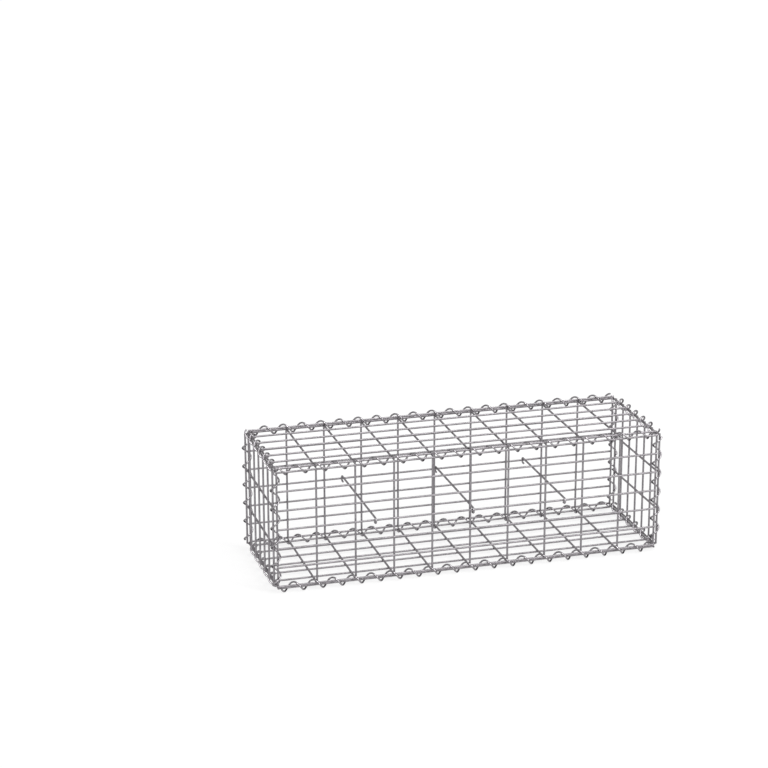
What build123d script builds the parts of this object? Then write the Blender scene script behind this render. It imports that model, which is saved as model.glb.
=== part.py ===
from build123d import *
import math
import os

os.makedirs("parts", exist_ok=True)

# A welded-wire gabion basket: six mesh panels, laced along their twelve edges
# by wire spirals, with hooked ties from the front to the back. Lengths in mm.

# Box between the border wires of the panels
basket_length = 1000.0
basket_depth = 300.0
basket_height = 300.0

# Welded mesh: close line wires outside, wide-set cross wires inside
mesh_wire = 5.0
line_spacing = 50.0
cross_spacing = 100.0
wire_overhang = 0.7
panel_clearance = 0.15

# Lacing spirals, screwed in along every edge
spiral_wire = 4.5
turns_per_line_opening = 1
turns_per_cross_opening = 2
lacing_clearance = 0.2
spiral_end_gap = 6.0

# Ties, hung by their hooks over the middle line wires of front and back
tie_wire = 5.0
side_tie_shares = (0.25, 0.75)
hook_height = 18.0
hook_tip = 6.0
tie_clearance = 0.2

# Facets of a wire: corners of its section, and straight pieces in a turn
bar_corners = 6
spiral_corners = 4
turn_pieces = 8
hook_pieces = 5

# Turn of each spiral about its own axis
lid_front_turn_share = 0.76
lid_back_turn_share = 0.65
lid_left_turn_share = 0.95
lid_right_turn_share = 0.97
base_front_turn_share = 0.60
base_back_turn_share = 0.35
base_left_turn_share = 0.37
base_right_turn_share = 0.66
front_left_turn_share = 0.58
front_right_turn_share = 0.96
back_left_turn_share = 0.75
back_right_turn_share = 0.96

# Way that a loose spiral leans on its border wires, in degrees from straight out
lid_lean = 100
base_left_lean = 150
base_right_lean = 8
front_lean = 240
back_lean = 80


def corner_radius(wire, corners):
    """Radius of the regular polygon with the section area of a round wire."""
    return wire * math.sqrt(math.pi / (2 * corners * math.sin(math.tau / corners)))


bar_radius = corner_radius(mesh_wire, bar_corners)
bar_flat = bar_radius * math.cos(math.pi / bar_corners)
tie_radius = corner_radius(tie_wire, bar_corners)
tie_flat = tie_radius * math.cos(math.pi / bar_corners)
spiral_section = corner_radius(spiral_wire, spiral_corners)

# Cross wires of lid and base lie over the ends of those of front and back
layer_step = 2 * bar_flat
cross_step = bar_flat + wire_overhang + panel_clearance
corner_step = layer_step + cross_step

# End panels stand out until their border wires clear those of lid and base
border_apart = 2 * bar_radius + panel_clearance
end_cross_step = math.sqrt(max(border_apart**2 - cross_step**2, 0))
end_step = layer_step + end_cross_step

# A spiral just reaches round the border wires that stand furthest apart
lace_reach = max(math.hypot(corner_step, corner_step), math.hypot(end_step, cross_step)) / 2
spiral_inside = lace_reach + bar_radius + lacing_clearance
spiral_radius = (spiral_inside + spiral_section) / math.cos(math.pi / turn_pieces)


def bar(start, end, up):
    """Straight few-sided wire with a flat towards up."""
    run = Vector(*end) - Vector(*start)
    plane = Plane(origin=start, x_dir=up, z_dir=run)
    half_turn = 360 / (2 * bar_corners)
    return extrude(plane * RegularPolygon(bar_radius, bar_corners, rotation=half_turn), run.length)


def even_shares(openings):
    """Places of the wires that bound a row of equal openings."""
    return [i / openings for i in range(openings + 1)]


def mesh_panel(run, cross_shares, width, line_shares):
    """Flat welded mesh, outer side up: line wires along X over cross wires."""
    end_x = run / 2 + wire_overhang
    end_y = width / 2 + wire_overhang
    wires = []
    for share in line_shares:
        y = width * share - width / 2
        wires.append(bar((-end_x, y, 0), (end_x, y, 0), (0, 0, 1)))
    for share in cross_shares:
        x = run * share - run / 2
        wires.append(bar((x, -end_y, -layer_step), (x, end_y, -layer_step), (0, 0, 1)))
    return wires[0].fuse(*wires[1:])


def leaning_axis(step_a, step_b, lean):
    """Steps out from the box edge to a spiral that leans on a border wire."""
    out_a = math.cos(math.radians(lean))
    out_b = math.sin(math.radians(lean))
    half_apart = math.hypot(step_a, step_b) / 2
    aside = abs(out_a * step_a - out_b * step_b) / 2
    slide = math.sqrt(lace_reach**2 - half_apart**2 + aside**2) - aside
    return step_a / 2 + slide * out_a, step_b / 2 + slide * out_b


def bent_wire(points, radius, corners, x_dir):
    """Few-sided wire along straight pieces, mitred where they meet."""
    path = Polyline(*points)
    start = Plane(points[0], x_dir=x_dir, z_dir=path % 0)
    section = start * RegularPolygon(radius, corners)
    return sweep(section, path=path, transition=Transition.RIGHT)


def spiral(plane, run, turns, turn_share):
    """Right-handed wire spiral about the plane's normal, centred on its origin."""
    pitch = run / turns
    piece_count = round((run - 2 * spiral_end_gap) / pitch * turn_pieces)
    length = piece_count / turn_pieces * pitch
    points = []
    for i in range(piece_count + 1):
        along = i / turn_pieces * pitch - length / 2
        angle = math.tau * ((along + run / 2) / pitch - turn_share)
        spot = (spiral_radius * math.cos(angle), spiral_radius * math.sin(angle), along)
        points.append(plane.from_local_coords(spot))
    return bent_wire(points, spiral_section, spiral_corners, plane.x_dir)


def hooked_tie(x, bar_z, span):
    """Tie along Y with its bar at bar_z, both ends hooked down and back in."""
    hook_radius = (hook_height - tie_wire) / 2
    half = [(x, span / 2 - hook_tip, bar_z - 2 * hook_radius)]
    for i in range(hook_pieces + 1):
        angle = math.pi * (i / hook_pieces) - math.pi / 2
        out = span / 2 + hook_radius * math.cos(angle)
        half.append((x, out, bar_z - hook_radius + hook_radius * math.sin(angle)))
    other_half = [(x, -y, z) for x, y, z in reversed(half)]
    return bent_wire(half + other_half, tie_radius, bar_corners, (1, 0, 0))


half_length = basket_length / 2
half_depth = basket_depth / 2
half_height = basket_height / 2
openings_long = round(basket_length / cross_spacing)
openings_deep = round(basket_depth / line_spacing)
openings_high = round(basket_height / line_spacing)
long_shares = even_shares(openings_long)
deep_shares = even_shares(openings_deep)
high_shares = even_shares(openings_high)

# Cross wires of the end panels keep to heights at which front and back have line wires
lines_per_cross = max(round(cross_spacing / line_spacing), 1)
end_shares = high_shares[:-1:lines_per_cross] + high_shares[-1:]

pieces = {}

# Panels, each standing a step outside the box
front_back = mesh_panel(basket_length, long_shares, basket_height, high_shares)
lid_base = mesh_panel(basket_length, long_shares, basket_depth, deep_shares)
end_mesh = mesh_panel(basket_height, end_shares, basket_depth, deep_shares)
panel_y = half_depth + corner_step
panel_z = half_height + corner_step
panel_x = half_length + end_step
pieces["front_panel"] = Plane((0, -panel_y, 0), x_dir=(1, 0, 0), z_dir=(0, -1, 0)) * front_back
pieces["back_panel"] = Plane((0, panel_y, 0), x_dir=(1, 0, 0), z_dir=(0, 1, 0)) * front_back
pieces["lid_panel"] = Plane((0, 0, panel_z), x_dir=(1, 0, 0), z_dir=(0, 0, 1)) * lid_base
pieces["base_panel"] = Plane((0, 0, -panel_z), x_dir=(1, 0, 0), z_dir=(0, 0, -1)) * lid_base
pieces["left_end_panel"] = Plane((-panel_x, 0, 0), x_dir=(0, 0, 1), z_dir=(-1, 0, 0)) * end_mesh
pieces["right_end_panel"] = Plane((panel_x, 0, 0), x_dir=(0, 0, 1), z_dir=(1, 0, 0)) * end_mesh

# Spirals along the length: a line wire of either panel lies inside each
spiral_y = half_depth + corner_step / 2
spiral_z = half_height + corner_step / 2
turns_long = openings_long * turns_per_cross_opening
for name, side_y, side_z, turn_share in (
    ("lid_front_spiral", -1, 1, lid_front_turn_share),
    ("lid_back_spiral", 1, 1, lid_back_turn_share),
    ("base_front_spiral", -1, -1, base_front_turn_share),
    ("base_back_spiral", 1, -1, base_back_turn_share),
):
    centre = (0, side_y * spiral_y, side_z * spiral_z)
    plane = Plane(centre, x_dir=(0, 1, 0), z_dir=(1, 0, 0))
    pieces[name] = spiral(plane, basket_length, turns_long, turn_share)

# Spirals along the depth: a cross wire of either panel lies loose inside each
turns_deep = openings_deep * turns_per_line_opening
for name, side_x, side_z, turn_share, lean in (
    ("lid_left_spiral", -1, 1, lid_left_turn_share, lid_lean),
    ("lid_right_spiral", 1, 1, lid_right_turn_share, lid_lean),
    ("base_left_spiral", -1, -1, base_left_turn_share, base_left_lean),
    ("base_right_spiral", 1, -1, base_right_turn_share, base_right_lean),
):
    out_x, out_z = leaning_axis(end_cross_step, cross_step, lean)
    centre = (side_x * (half_length + out_x), 0, side_z * (half_height + out_z))
    plane = Plane(centre, x_dir=(0, 0, 1), z_dir=(0, 1, 0))
    pieces[name] = spiral(plane, basket_depth, turns_deep, turn_share)

# Upright spirals: a line wire of the end panel and a cross wire of the other
turns_high = openings_high * turns_per_line_opening
for name, side_x, side_y, turn_share, lean in (
    ("front_left_spiral", -1, -1, front_left_turn_share, front_lean),
    ("front_right_spiral", 1, -1, front_right_turn_share, front_lean),
    ("back_left_spiral", -1, 1, back_left_turn_share, back_lean),
    ("back_right_spiral", 1, 1, back_right_turn_share, back_lean),
):
    out_x, out_y = leaning_axis(end_step, cross_step, lean)
    centre = (side_x * (half_length + out_x), side_y * (half_depth + out_y), 0)
    plane = Plane(centre, x_dir=(1, 0, 0), z_dir=(0, 0, 1))
    pieces[name] = spiral(plane, basket_height, turns_high, turn_share)

# Ties: two in the middle of an opening, one close beside the middle cross wire
opening = basket_length / openings_long
middle_line_z = basket_height * (round(openings_high / 2) / openings_high) - half_height
tie_z = middle_line_z + bar_radius + tie_clearance + tie_flat
middle_wire_x = opening * round(openings_long / 2) - half_length
tie_places = {"middle_tie": middle_wire_x + bar_radius + tie_clearance + tie_radius}
for name, share in zip(("left_tie", "right_tie"), side_tie_shares):
    tie_places[name] = opening * (math.floor(share * openings_long) + 1 / 2) - half_length
for name, x in tie_places.items():
    pieces[name] = hooked_tie(x, tie_z, 2 * panel_y)

# The basket stands on its lowest spirals, centred over the origin
bounds = Compound(list(pieces.values())).bounding_box()
stand = Pos(-bounds.center().X, -bounds.center().Y, -bounds.min.Z)
for name, solid in pieces.items():
    placed = stand * solid
    placed.label = name
    export_step(placed, f"parts/{name}.step")
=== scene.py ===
import cmath
import math

import bpy
from mathutils import Matrix, Vector


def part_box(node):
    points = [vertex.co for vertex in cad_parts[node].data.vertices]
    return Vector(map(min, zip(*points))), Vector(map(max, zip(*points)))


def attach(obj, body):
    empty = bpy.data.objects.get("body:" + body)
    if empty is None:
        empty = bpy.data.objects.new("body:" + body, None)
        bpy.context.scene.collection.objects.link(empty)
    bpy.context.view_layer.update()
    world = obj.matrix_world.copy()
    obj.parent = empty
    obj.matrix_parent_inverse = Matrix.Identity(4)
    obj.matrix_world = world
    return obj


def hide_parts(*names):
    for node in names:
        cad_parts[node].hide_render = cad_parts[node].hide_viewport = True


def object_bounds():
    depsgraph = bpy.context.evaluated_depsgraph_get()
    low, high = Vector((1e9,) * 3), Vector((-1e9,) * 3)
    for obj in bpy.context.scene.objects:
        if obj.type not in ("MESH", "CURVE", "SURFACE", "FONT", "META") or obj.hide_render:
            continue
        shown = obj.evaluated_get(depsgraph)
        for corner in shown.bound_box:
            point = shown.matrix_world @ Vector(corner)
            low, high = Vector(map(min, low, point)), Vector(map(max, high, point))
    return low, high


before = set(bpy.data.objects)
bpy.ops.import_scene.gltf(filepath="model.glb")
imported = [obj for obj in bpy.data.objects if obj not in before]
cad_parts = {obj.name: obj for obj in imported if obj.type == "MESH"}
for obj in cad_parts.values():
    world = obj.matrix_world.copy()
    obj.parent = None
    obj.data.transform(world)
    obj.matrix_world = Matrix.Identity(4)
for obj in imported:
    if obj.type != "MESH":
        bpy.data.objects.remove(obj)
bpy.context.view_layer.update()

# Six welded mesh panels: front, back, lid, base and two ends.
# Hard-drawn zinc-coated steel wire, welded wherever two wires cross.
# The close line wires lie outside, the wide-set cross wires inside.
mesh_wire = 0.005
line_spacing = 0.05
cross_spacing = 0.1
wire_overhang = 0.0007
wire_sides = 14
weld_spread = 0.0032
weld_rise = 0.0014
weld_segments = 10
weld_rings = 5
crease_angle = math.radians(60)

# Zinc coat of the mesh: its two greys, its tone where it turns away, its dullness
zinc_dark = (0.222, 0.211, 0.222, 1)
zinc_light = (0.345, 0.328, 0.345, 1)
zinc_edge = 0.4
zinc_roughness = (0.36, 0.50)

# Pattern of any zinc coat: clouds, crystals and the grain of its skin
cloud_scale = 45.0
cloud_detail = 4.0
crystal_scale = 420.0
crystal_share = 0.35
dark_until = 0.32
light_from = 0.68
skin_scale = 1600.0
skin_detail = 2.0
skin_strength = 0.12
skin_depth = 0.0002

X_AXIS = Vector((1, 0, 0))
Y_AXIS = Vector((0, 1, 0))
Z_AXIS = Vector((0, 0, 1))


def add(tree, kind, inputs=None, **settings):
    """New node in the tree, its inputs given as values or as sockets to link."""
    node = tree.nodes.new(kind)
    for name, value in settings.items():
        setattr(node, name, value)
    for key, value in (inputs or {}).items():
        if isinstance(value, bpy.types.NodeSocket):
            tree.links.new(value, node.inputs[key])
        else:
            node.inputs[key].default_value = value
    return node


def calc(tree, operation, a, b=0.0):
    """Output of a math node."""
    return add(tree, "ShaderNodeMath", {0: a, 1: b}, operation=operation).outputs[0]


def spot(tree, x=0.0, y=0.0, z=0.0):
    """Vector with these parts."""
    return add(tree, "ShaderNodeCombineXYZ", {0: x, 1: y, 2: z}).outputs[0]


def galvanised(name, dark, light, edge, roughness):
    """Zinc coat: cloudy grey patches, small crystals, a faintly rough skin and dark edges."""
    material = bpy.data.materials.new(name)
    material.use_nodes = True
    tree = material.node_tree
    shader = tree.nodes["Principled BSDF"]
    place = add(tree, "ShaderNodeTexCoord").outputs["Object"]
    cloud = add(
        tree,
        "ShaderNodeTexNoise",
        {"Vector": place, "Scale": cloud_scale, "Detail": cloud_detail},
    )
    crystal = add(tree, "ShaderNodeTexVoronoi", {"Vector": place, "Scale": crystal_scale})
    patches = add(
        tree,
        "ShaderNodeMix",
        {"Factor": crystal_share, "A": cloud.outputs["Fac"], "B": crystal.outputs["Color"]},
    )
    greys = add(tree, "ShaderNodeValToRGB", {"Fac": patches.outputs["Result"]})
    greys.color_ramp.elements[0].position = dark_until
    greys.color_ramp.elements[0].color = dark
    greys.color_ramp.elements[1].position = light_from
    greys.color_ramp.elements[1].color = light
    tree.links.new(greys.outputs["Color"], shader.inputs["Base Color"])
    dull = add(
        tree,
        "ShaderNodeMapRange",
        {"Value": cloud.outputs["Fac"], "To Min": roughness[0], "To Max": roughness[1]},
    )
    tree.links.new(dull.outputs["Result"], shader.inputs["Roughness"])
    skin = add(
        tree,
        "ShaderNodeTexNoise",
        {"Vector": place, "Scale": skin_scale, "Detail": skin_detail},
    )
    bump = add(
        tree,
        "ShaderNodeBump",
        {"Height": skin.outputs["Fac"], "Strength": skin_strength, "Distance": skin_depth},
    )
    tree.links.new(bump.outputs["Normal"], shader.inputs["Normal"])
    shader.inputs["Metallic"].default_value = 1.0
    shader.inputs["Specular Tint"].default_value = (edge, edge, edge, 1)
    return material


def tree_with(name, inputs):
    """Empty node tree with named inputs, and the sockets that give them."""
    tree = bpy.data.node_groups.new(name, "GeometryNodeTree")
    for label, kind in inputs.items():
        tree.interface.new_socket(label, in_out="INPUT", socket_type=kind)
    tree.interface.new_socket("Geometry", in_out="OUTPUT", socket_type="NodeSocketGeometry")
    return tree, add(tree, "NodeGroupInput").outputs


def wire_along(tree, path, wire, sides):
    """Round wire along a path, with its ends cut square."""
    radius = calc(tree, "MULTIPLY", wire, 0.5)
    profile = add(tree, "GeometryNodeCurvePrimitiveCircle", {"Resolution": sides, "Radius": radius})
    tube = add(
        tree,
        "GeometryNodeCurveToMesh",
        {"Curve": path, "Profile Curve": profile.outputs["Curve"], "Fill Caps": True},
    )
    return tube.outputs["Mesh"]


def finish_tree(tree, geometry, material):
    """Ends the tree: real mesh, smooth but for its sharp edges, with its material."""
    real = add(tree, "GeometryNodeRealizeInstances", {"Geometry": geometry})
    smooth = add(tree, "GeometryNodeSetShadeSmooth", {"Geometry": real.outputs["Geometry"]})
    angle = add(tree, "GeometryNodeInputMeshEdgeAngle").outputs["Unsigned Angle"]
    crease = add(
        tree,
        "GeometryNodeSetShadeSmooth",
        {
            "Geometry": smooth.outputs["Geometry"],
            "Selection": calc(tree, "GREATER_THAN", angle, crease_angle),
            "Shade Smooth": False,
        },
        domain="EDGE",
    )
    coat = add(
        tree,
        "GeometryNodeSetMaterial",
        {"Geometry": crease.outputs["Geometry"], "Material": material},
    )
    add(tree, "NodeGroupOutput", {"Geometry": coat.outputs["Geometry"]})


def made_by(tree, name, sizes, place):
    """Plain mesh object that the tree makes at these sizes, put in its place."""
    piece = bpy.data.objects.new(name, bpy.data.meshes.new(name))
    bpy.context.scene.collection.objects.link(piece)
    modifier = piece.modifiers.new(tree.name, "NODES")
    modifier.node_group = tree
    for item in tree.interface.items_tree:
        if item.in_out == "INPUT":
            modifier[item.identifier] = sizes[item.name]
    shape = piece.evaluated_get(bpy.context.evaluated_depsgraph_get())
    mesh = bpy.data.meshes.new_from_object(shape)
    piece.modifiers.remove(modifier)
    piece.data = mesh
    mesh.transform(place)
    return piece


def frame_of(x, y, z, origin):
    """Matrix that puts a piece's own axes along x, y and z at the origin given."""
    return Matrix.Translation(origin) @ Matrix((x, y, z)).transposed().to_4x4()


mesh_zinc = galvanised("mesh_zinc", zinc_dark, zinc_light, zinc_edge, zinc_roughness)
panel_tree, panel_size = tree_with(
    "welded_mesh",
    {
        "Run": "NodeSocketFloat",
        "Width": "NodeSocketFloat",
        "Line Spacing": "NodeSocketFloat",
        "Cross Spacing": "NodeSocketFloat",
        "Wire": "NodeSocketFloat",
        "Wire Sides": "NodeSocketInt",
        "Layer Step": "NodeSocketFloat",
        "End Reach": "NodeSocketFloat",
        "Weld Spread": "NodeSocketFloat",
        "Weld Rise": "NodeSocketFloat",
    },
)


def wire_row(turn, length, spread, spacing, lower):
    """Row of like wires: each runs along X and the row spreads along Y, before the turn."""
    half = calc(panel_tree, "MULTIPLY", length, 0.5)
    end = calc(panel_tree, "ADD", half, panel_size["End Reach"])
    path = add(
        panel_tree,
        "GeometryNodeCurvePrimitiveLine",
        {
            "Start": spot(panel_tree, calc(panel_tree, "MULTIPLY", end, -1.0)),
            "End": spot(panel_tree, end),
        },
    )
    wire = wire_along(panel_tree, path.outputs["Curve"], panel_size["Wire"], panel_size["Wire Sides"])
    openings = calc(panel_tree, "ROUND", calc(panel_tree, "DIVIDE", spread, spacing))
    count = calc(panel_tree, "ADD", openings, 1.0)
    border = calc(panel_tree, "MULTIPLY", spread, 0.5)
    row = add(
        panel_tree,
        "GeometryNodeMeshLine",
        {
            "Count": count,
            "Start Location": spot(panel_tree, y=calc(panel_tree, "MULTIPLY", border, -1.0)),
            "Offset": spot(panel_tree, y=border),
        },
        mode="END_POINTS",
    )
    wires = add(
        panel_tree,
        "GeometryNodeInstanceOnPoints",
        {"Points": row.outputs["Mesh"], "Instance": wire},
    )
    turned = add(
        panel_tree,
        "GeometryNodeTransform",
        {
            "Geometry": wires.outputs["Instances"],
            "Translation": spot(panel_tree, z=calc(panel_tree, "MULTIPLY", lower, -1.0)),
            "Rotation": (0.0, 0.0, turn),
        },
    )
    return turned.outputs["Geometry"], count


line_wires, line_count = wire_row(
    0.0,
    panel_size["Run"],
    panel_size["Width"],
    panel_size["Line Spacing"],
    0.0,
)
cross_wires, cross_count = wire_row(
    math.pi / 2,
    panel_size["Width"],
    panel_size["Run"],
    panel_size["Cross Spacing"],
    panel_size["Layer Step"],
)
crossings = add(
    panel_tree,
    "GeometryNodeMeshGrid",
    {
        "Size X": panel_size["Run"],
        "Size Y": panel_size["Width"],
        "Vertices X": cross_count,
        "Vertices Y": line_count,
    },
)
bead = add(
    panel_tree,
    "GeometryNodeMeshUVSphere",
    {"Segments": weld_segments, "Rings": weld_rings, "Radius": 1.0},
)
beads = add(
    panel_tree,
    "GeometryNodeInstanceOnPoints",
    {
        "Points": crossings.outputs["Mesh"],
        "Instance": bead.outputs["Mesh"],
        "Scale": spot(
            panel_tree,
            panel_size["Weld Spread"],
            panel_size["Weld Spread"],
            panel_size["Weld Rise"],
        ),
    },
)
half_step_down = calc(panel_tree, "MULTIPLY", panel_size["Layer Step"], -0.5)
welds = add(
    panel_tree,
    "GeometryNodeTransform",
    {
        "Geometry": beads.outputs["Instances"],
        "Translation": spot(panel_tree, z=half_step_down),
    },
)
whole = add(panel_tree, "GeometryNodeJoinGeometry")
for part in (line_wires, cross_wires, welds.outputs["Geometry"]):
    panel_tree.links.new(part, whole.inputs["Geometry"])
finish_tree(panel_tree, whole.outputs["Geometry"], mesh_zinc)

# The wires of the solid panels are six-sided bars in two layers, each two flats thick
solid_wire_sides = 6
flats_in_panel = 4
panel_low, panel_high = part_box("front_panel")
wire_flat = (panel_high.y - panel_low.y) / flats_in_panel
wire_corner = wire_flat / math.cos(math.pi / solid_wire_sides)

for node, run, outward in (
    ("front_panel", X_AXIS, -Y_AXIS),
    ("back_panel", X_AXIS, Y_AXIS),
    ("lid_panel", X_AXIS, Z_AXIS),
    ("base_panel", X_AXIS, -Z_AXIS),
    ("left_end_panel", Z_AXIS, -X_AXIS),
    ("right_end_panel", Z_AXIS, X_AXIS),
):
    low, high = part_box(node)
    across = outward.cross(run)
    reach = high - low
    outer_layer = (low + high) / 2 + outward * wire_flat
    panel = made_by(
        panel_tree,
        node + "_mesh",
        {
            "Run": abs(reach.dot(run)) - 2 * wire_corner,
            "Width": abs(reach.dot(across)) - 2 * wire_corner,
            "Line Spacing": line_spacing,
            "Cross Spacing": cross_spacing,
            "Wire": mesh_wire,
            "Wire Sides": wire_sides,
            "Layer Step": 2 * wire_flat,
            "End Reach": wire_overhang,
            "Weld Spread": weld_spread,
            "Weld Rise": weld_rise,
        },
        frame_of(run, across, outward, outer_layer),
    )
    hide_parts(node)
    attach(panel, "root")

# Twelve lacing spirals, one along each edge of the basket.
# Spring-hard zinc-coated wire, wound to a fixed pitch and screwed in
# round the border wires of both panels, one turn to each 50 mm.
spiral_wire = 0.0045
spiral_pitch = line_spacing
spiral_radius = 0.0106
points_per_turn = 32
spiral_sides = 12
# Paler greys of the shiny spiral zinc. The ties take them too, and on the ties this extra paleness is
# a painted sheen.
bright_zinc_and_tie_sheen_dark = (0.250, 0.239, 0.250, 1)
bright_zinc_and_tie_sheen_light = (0.370, 0.353, 0.370, 1)
spiral_edge = 0.06
spiral_roughness = (0.15, 0.22)
spiral_zinc = galvanised("spiral_zinc", bright_zinc_and_tie_sheen_dark, bright_zinc_and_tie_sheen_light, spiral_edge, spiral_roughness)

spiral_tree, spiral_size = tree_with(
    "lacing_spiral",
    {
        "Length": "NodeSocketFloat",
        "Pitch": "NodeSocketFloat",
        "Radius": "NodeSocketFloat",
        "Wire": "NodeSocketFloat",
        "Wire Sides": "NodeSocketInt",
        "Points Per Turn": "NodeSocketInt",
        "Start Angle": "NodeSocketFloat",
    },
)
winding = add(
    spiral_tree,
    "GeometryNodeCurveSpiral",
    {
        "Resolution": spiral_size["Points Per Turn"],
        "Rotations": calc(spiral_tree, "DIVIDE", spiral_size["Length"], spiral_size["Pitch"]),
        "Start Radius": spiral_size["Radius"],
        "End Radius": spiral_size["Radius"],
        "Height": spiral_size["Length"],
        "Reverse": True,
    },
)
half_length_down = calc(spiral_tree, "MULTIPLY", spiral_size["Length"], -0.5)
centred = add(
    spiral_tree,
    "GeometryNodeTransform",
    {
        "Geometry": winding.outputs["Curve"],
        "Translation": spot(spiral_tree, z=half_length_down),
        "Rotation": spot(spiral_tree, z=spiral_size["Start Angle"]),
    },
)
coil = wire_along(
    spiral_tree,
    centred.outputs["Geometry"],
    spiral_size["Wire"],
    spiral_size["Wire Sides"],
)
finish_tree(spiral_tree, coil, spiral_zinc)


def turn_at_middle(node, middle, first, second, along):
    """Angle that a solid spiral has turned through at the middle of its edge."""
    total = 0
    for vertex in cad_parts[node].data.vertices:
        out = vertex.co - middle
        angle = math.atan2(out.dot(second), out.dot(first))
        total += cmath.exp(1j * (angle - math.tau * out.dot(along) / spiral_pitch))
    return cmath.phase(total)


for edge, first, second, along in (
    ("lid_front", Y_AXIS, Z_AXIS, X_AXIS),
    ("lid_back", Y_AXIS, Z_AXIS, X_AXIS),
    ("base_front", Y_AXIS, Z_AXIS, X_AXIS),
    ("base_back", Y_AXIS, Z_AXIS, X_AXIS),
    ("lid_left", Z_AXIS, X_AXIS, Y_AXIS),
    ("lid_right", Z_AXIS, X_AXIS, Y_AXIS),
    ("base_left", Z_AXIS, X_AXIS, Y_AXIS),
    ("base_right", Z_AXIS, X_AXIS, Y_AXIS),
    ("front_left", X_AXIS, Y_AXIS, Z_AXIS),
    ("front_right", X_AXIS, Y_AXIS, Z_AXIS),
    ("back_left", X_AXIS, Y_AXIS, Z_AXIS),
    ("back_right", X_AXIS, Y_AXIS, Z_AXIS),
):
    node = edge + "_spiral"
    low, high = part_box(node)
    middle = (low + high) / 2
    length = (high - low).dot(along) - spiral_wire
    middle_angle = turn_at_middle(node, middle, first, second, along)
    spiral = made_by(
        spiral_tree,
        edge + "_lacing",
        {
            "Length": length,
            "Pitch": spiral_pitch,
            "Radius": spiral_radius,
            "Wire": spiral_wire,
            "Wire Sides": spiral_sides,
            "Points Per Turn": points_per_turn,
            "Start Angle": middle_angle - math.pi * length / spiral_pitch,
        },
        frame_of(first, second, along, middle),
    )
    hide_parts(node)
    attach(spiral, "root")

# Three ties that keep front and back from bulging under the stones.
# Straight zinc-coated wire, bent at both ends into a hook that hangs
# over the middle line wire of either panel.
tie_wire = mesh_wire
tie_section_steps = 2
hook_points = 16
tip_length = 0.006
tie_edge = 0.25
tie_roughness = (0.22, 0.32)
# The ties wear the spirals' paler greys: their zinc colour with a painted sheen that stands in for
# the highlight along their tops.
tie_zinc = galvanised("tie_zinc", bright_zinc_and_tie_sheen_dark, bright_zinc_and_tie_sheen_light, tie_edge, tie_roughness)
front_line_y = panel_low.y + wire_flat
back_line_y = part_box("back_panel")[1].y - wire_flat
bend = [math.pi * step / hook_points - math.pi / 2 for step in range(hook_points + 1)]

for node in ("left_tie", "middle_tie", "right_tie"):
    low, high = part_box(node)
    x = (low.x + high.x) / 2
    hook_radius = (high.z - low.z) / 2 - wire_flat
    hook_z = (low.z + high.z) / 2
    back_hook = [
        Vector((x, back_line_y + hook_radius * math.cos(a), hook_z + hook_radius * math.sin(a)))
        for a in bend
    ]
    front_hook = [
        Vector((x, front_line_y - hook_radius * math.cos(a), hook_z + hook_radius * math.sin(a)))
        for a in reversed(bend)
    ]
    back_tip = back_hook[0] - Y_AXIS * tip_length
    front_tip = front_hook[-1] + Y_AXIS * tip_length
    points = [back_tip, *back_hook, *front_hook, front_tip]
    bent = bpy.data.curves.new(node, "CURVE")
    bent.dimensions = "3D"
    bent.bevel_depth = tie_wire / 2
    bent.bevel_resolution = tie_section_steps
    bent.use_fill_caps = True
    path = bent.splines.new("POLY")
    path.points.add(len(points) - 1)
    for place, point in zip(path.points, points):
        place.co = (*point, 1)
    form = bpy.data.objects.new(node + "_path", bent)
    bpy.context.scene.collection.objects.link(form)
    shape = form.evaluated_get(bpy.context.evaluated_depsgraph_get())
    mesh = bpy.data.meshes.new_from_object(shape)
    bpy.data.objects.remove(form)
    mesh.materials.clear()
    mesh.materials.append(tie_zinc)
    mesh.shade_smooth()
    tie = bpy.data.objects.new(node + "_wire", mesh)
    bpy.context.scene.collection.objects.link(tie)
    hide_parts(node)
    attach(tie, "root")

# Studio: a white floor under three soft lamps, one overhead and one in front
# on either side, with plain white all round for the wires to mirror. The floor
# shows nearly plain white, and keeps a faint shadow of the basket.
white = (1, 1, 1, 1)
floor_half = 40.0
floor_bounce = (0.45, 0.45, 0.45, 1)
shadow_share = 0.22
sky_strength = 0.45


def seen_rays(tree):
    """One where the camera sees a place, straight or in a mirroring surface."""
    ray = add(tree, "ShaderNodeLightPath").outputs
    mirrored = calc(tree, "MAXIMUM", ray["Is Glossy Ray"], ray["Is Transmission Ray"])
    return calc(tree, "MAXIMUM", ray["Is Camera Ray"], mirrored)


def way_out(side, height):
    """Direction from the basket, turned to the right of its front and up from the floor."""
    return Vector(
        (
            math.sin(side) * math.cos(height),
            -math.cos(side) * math.cos(height),
            math.sin(height),
        )
    )


floor_mesh = bpy.data.meshes.new("floor")
floor_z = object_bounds()[0].z
corners = [
    (-floor_half, -floor_half, floor_z),
    (floor_half, -floor_half, floor_z),
    (floor_half, floor_half, floor_z),
    (-floor_half, floor_half, floor_z),
]
floor_mesh.from_pydata(corners, [], [(0, 1, 2, 3)])
floor = bpy.data.objects.new("floor", floor_mesh)
bpy.context.scene.collection.objects.link(floor)
floor_paint = bpy.data.materials.new("floor_white")
floor_paint.use_nodes = True
paint = floor_paint.node_tree
paint.nodes.clear()
seen = seen_rays(paint)
tone = add(
    paint,
    "ShaderNodeMix",
    {"Factor": seen, "A": floor_bounce, "B": white},
    data_type="RGBA",
)
lit_floor = add(paint, "ShaderNodeBsdfDiffuse", {"Color": tone.outputs["Result"]})
white_floor = add(paint, "ShaderNodeEmission", {"Color": white, "Strength": 1.0})
floor_mix = add(
    paint,
    "ShaderNodeMixShader",
    {
        0: calc(paint, "MULTIPLY", seen, 1 - shadow_share),
        1: lit_floor.outputs["BSDF"],
        2: white_floor.outputs["Emission"],
    },
)
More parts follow.
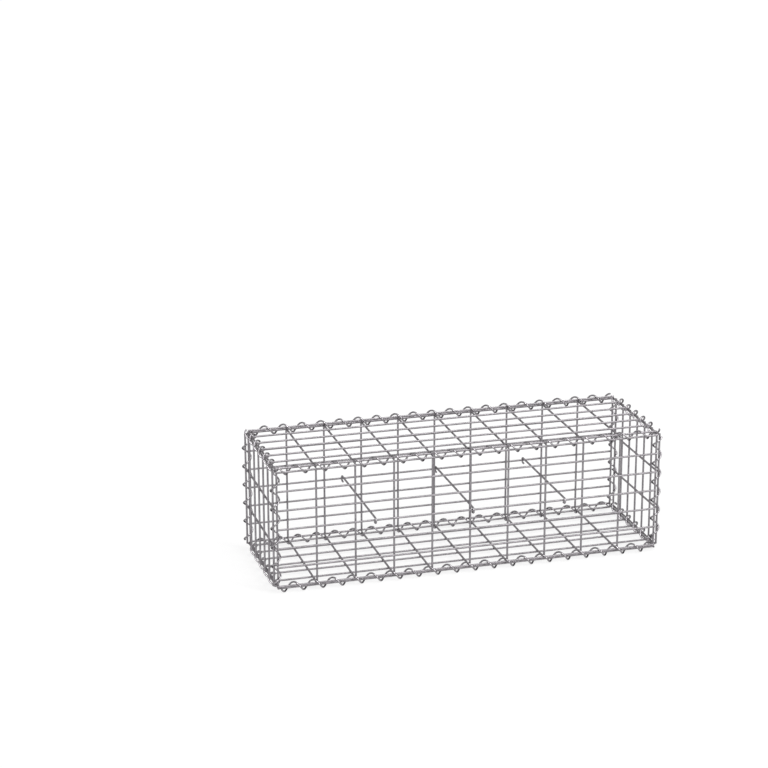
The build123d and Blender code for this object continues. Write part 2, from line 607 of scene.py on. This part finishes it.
add(paint, "ShaderNodeOutputMaterial", {"Surface": floor_mix.outputs["Shader"]})
floor_mesh.materials.append(floor_paint)

world = bpy.data.worlds.new("studio")
world.use_nodes = True
bpy.context.scene.world = world
sky = world.node_tree
sky.nodes.clear()
lit_sky = add(sky, "ShaderNodeBackground", {"Color": white, "Strength": sky_strength})
white_sky = add(sky, "ShaderNodeBackground", {"Color": white, "Strength": 1.0})
blend = add(
    sky,
    "ShaderNodeMixShader",
    {0: seen_rays(sky), 1: lit_sky.outputs["Background"], 2: white_sky.outputs["Background"]},
)
add(sky, "ShaderNodeOutputWorld", {"Surface": blend.outputs["Shader"]})

for name, strength, spread, side, height in (
    ("overhead", 1.0, 30, 69, 74),
    ("front_left", 1.2, 20, -31, 37),
    ("front_right", 1.2, 20, 47, 30),
):
    glow = bpy.data.lights.new(name, "SUN")
    glow.energy = strength
    glow.angle = math.radians(spread)
    lamp = bpy.data.objects.new(name, glow)
    bpy.context.scene.collection.objects.link(lamp)
    towards = way_out(math.radians(side), math.radians(height))
    lamp.rotation_mode = "QUATERNION"
    lamp.rotation_quaternion = towards.to_track_quat("Z", "Y")

# Camera: a long lens, a little above the basket and to the left of its front.
# Its place, turn and focal length are fitted to where the mesh wires cross.
camera_aim = Vector((-0.18156, 0.0, 0.46999))
camera_distance = 5.7553
camera_side = math.radians(-16.035)
camera_height = math.radians(17.725)
camera_roll = math.radians(-0.149)
photo_width = 768
focal_pixels = 2284
sensor_width = 36.0

lens = bpy.data.cameras.new("camera")
lens.sensor_width = sensor_width
lens.lens = focal_pixels / photo_width * sensor_width
camera = bpy.data.objects.new("camera", lens)
bpy.context.scene.collection.objects.link(camera)
bpy.context.scene.camera = camera
back = way_out(camera_side, camera_height)
level = Vector((math.cos(camera_side), math.sin(camera_side), 0))
upright = back.cross(level)
right = level * math.cos(camera_roll) + upright * math.sin(camera_roll)
up = upright * math.cos(camera_roll) - level * math.sin(camera_roll)
camera.matrix_world = frame_of(right, up, back, camera_aim + back * camera_distance)
bpy.context.scene.view_settings.view_transform = "Standard"
